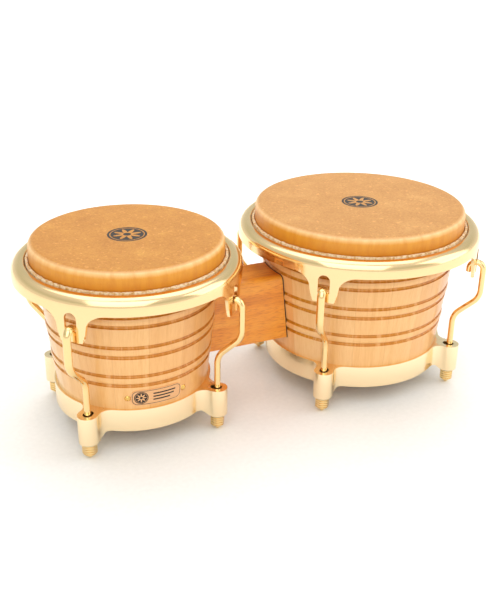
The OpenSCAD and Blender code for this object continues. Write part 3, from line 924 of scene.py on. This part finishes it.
# ---- Gaskets, plates, bolts and hoops ----
# The hidden hardware: rubber gaskets at the block's ends, curved steel plates inside the
# shells, the bolts with their washers and nuts, and the wire hoops inside the hide tucks.
def black_rubber():
    """Moulded rubber: matt near-black with a fine grain of about 1 mm."""
    mat = material("moulded_black_rubber", Roughness=0.75)
    grain = noise(mat, coordinates(mat), 1200.0, 3.0, 0.6)
    shade(mat, Base_Color=tones(mat, grain, [(0.3, "#1B1A19"), (0.7, "#2C2A28")]))
    bump(mat, grain, 0.00005)
    return mat


rubber = black_rubber()
plate_steel = worn_steel("zinc_plated_plate", "#B9BBBC", 0.35)
bolt_steel = worn_steel("zinc_plated_bolt", "#C4C5C4", 0.28)
hoop_steel = worn_steel("drawn_steel_wire", "#A9A8A5", 0.3)
bolt_set = ("block_bolts", "block_bolt_washers", "block_bolt_nuts")
hardware = {name: bolt_steel for name in bolt_set}
for side in SIDES:
    hardware[side + "_block_gasket"] = rubber
    hardware[side + "_backing_plate"] = plate_steel
    hardware[side + "_flesh_hoop"] = hoop_steel
for name, mat in hardware.items():
    dress(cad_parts[name], mat)


# ---- Badge ----
# A thin printed metal plate bent round the small shell, with a dark outline, a dark round
# with a rosette and three plain lines. A domed brass pin at each end goes with it.
badge_at, badge_z = math.radians(269.5), 59.5
badge_r = shell_r("small", badge_z)


def badge_print():
    """Printed plate: a satin copper tone, brushed along its length, under dark raised ink."""
    mat = material("printed_badge_plate", Metallic=0.2, Roughness=0.35)
    angle, _, height = round_axis(mat, axis_x("small"))
    from_middle = calc(mat, "SUBTRACT", angle, badge_at - 2 * math.pi)
    across = calc(mat, "MULTIPLY", from_middle, badge_r * MM)
    rise = calc(mat, "SUBTRACT", height, badge_z * MM)
    drawn_across = calc(mat, "MULTIPLY", across, 0.04)
    brushing_place = node(mat, "CombineXYZ", {0: drawn_across, 2: rise}).outputs[0]
    brushing = noise(mat, brushing_place, 2500.0, 3.0, 0.6)
    colour = tones(mat, brushing, [(0.3, "#DFA36A"), (0.7, "#F0BC8A")])

    # the round stands at the left, and three plain lines to the right of it
    round_left, round_r, line_half, line_start = 15.5, 6.8, 0.75, -4
    from_round = calc(mat, "ADD", across, round_left * MM)
    square = calc(mat, "MULTIPLY_ADD", from_round, from_round, calc(mat, "MULTIPLY", rise, rise))
    turned = calc(mat, "ARCTAN2", rise, from_round)
    dark = rosette(mat, calc(mat, "SQRT", square), turned, round_r)
    for line, end in ((3.4, 18.5), (0.0, 17.0), (-3.4, 13.0)):
        near = between(mat, rise, (line - line_half) * MM, (line + line_half) * MM)
        run = between(mat, across, line_start * MM, end * MM)
        dark = calc(mat, "MAXIMUM", dark, calc(mat, "MULTIPLY", near, run))

    # the outline runs a set way out from an inner oblong, so its corners are round
    outline_in, outline_out, oblong = 4.7, 5.2, []
    for way, half in ((across, 19), (rise, 2.5)):
        past = calc(mat, "SUBTRACT", calc(mat, "ABSOLUTE", way), half * MM)
        oblong.append(calc(mat, "MAXIMUM", past, 0.0))
    squares = [calc(mat, "MULTIPLY", past, past) for past in oblong]
    way_out = calc(mat, "SQRT", calc(mat, "ADD", *squares))
    border = between(mat, way_out, outline_in * MM, outline_out * MM)
    dark = calc(mat, "MAXIMUM", dark, border)
    shade(mat, Base_Color=mix(mat, dark, colour, srgb("#241C18")))
    bump(mat, calc(mat, "MULTIPLY_ADD", brushing, 0.2, dark), 0.0001)
    return mat


dress(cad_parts["badge_plate"], badge_print())

pin_brass = polished_gold("turned_brass_pin", 0.2, "#E9BC6A")
pin_out, shank, shank_r, dome_r = 28.4, 5.0, 1.0, 3.5
for number, way in ((1, -1), (2, 1)):
    section = [(0.05, -shank), (shank_r, -shank), (shank_r, 0.0)]
    section += arc(0, -1.6, dome_r, 28, 88, 8)
    pin = turn(f"badge_pin_{number}", section, 0, 32, solid=True)
    angle = badge_at + way * pin_out / badge_r
    pin_x, pin_y = axis_x("small") + badge_r * math.cos(angle), badge_r * math.sin(angle)
    pin.rotation_euler = (0, math.radians(90), angle)
    pin.location = (pin_x * MM, pin_y * MM, badge_z * MM)
    smooth(pin)
    dress(pin, pin_brass)
    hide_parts("badge_screws")
    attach(pin, "root")
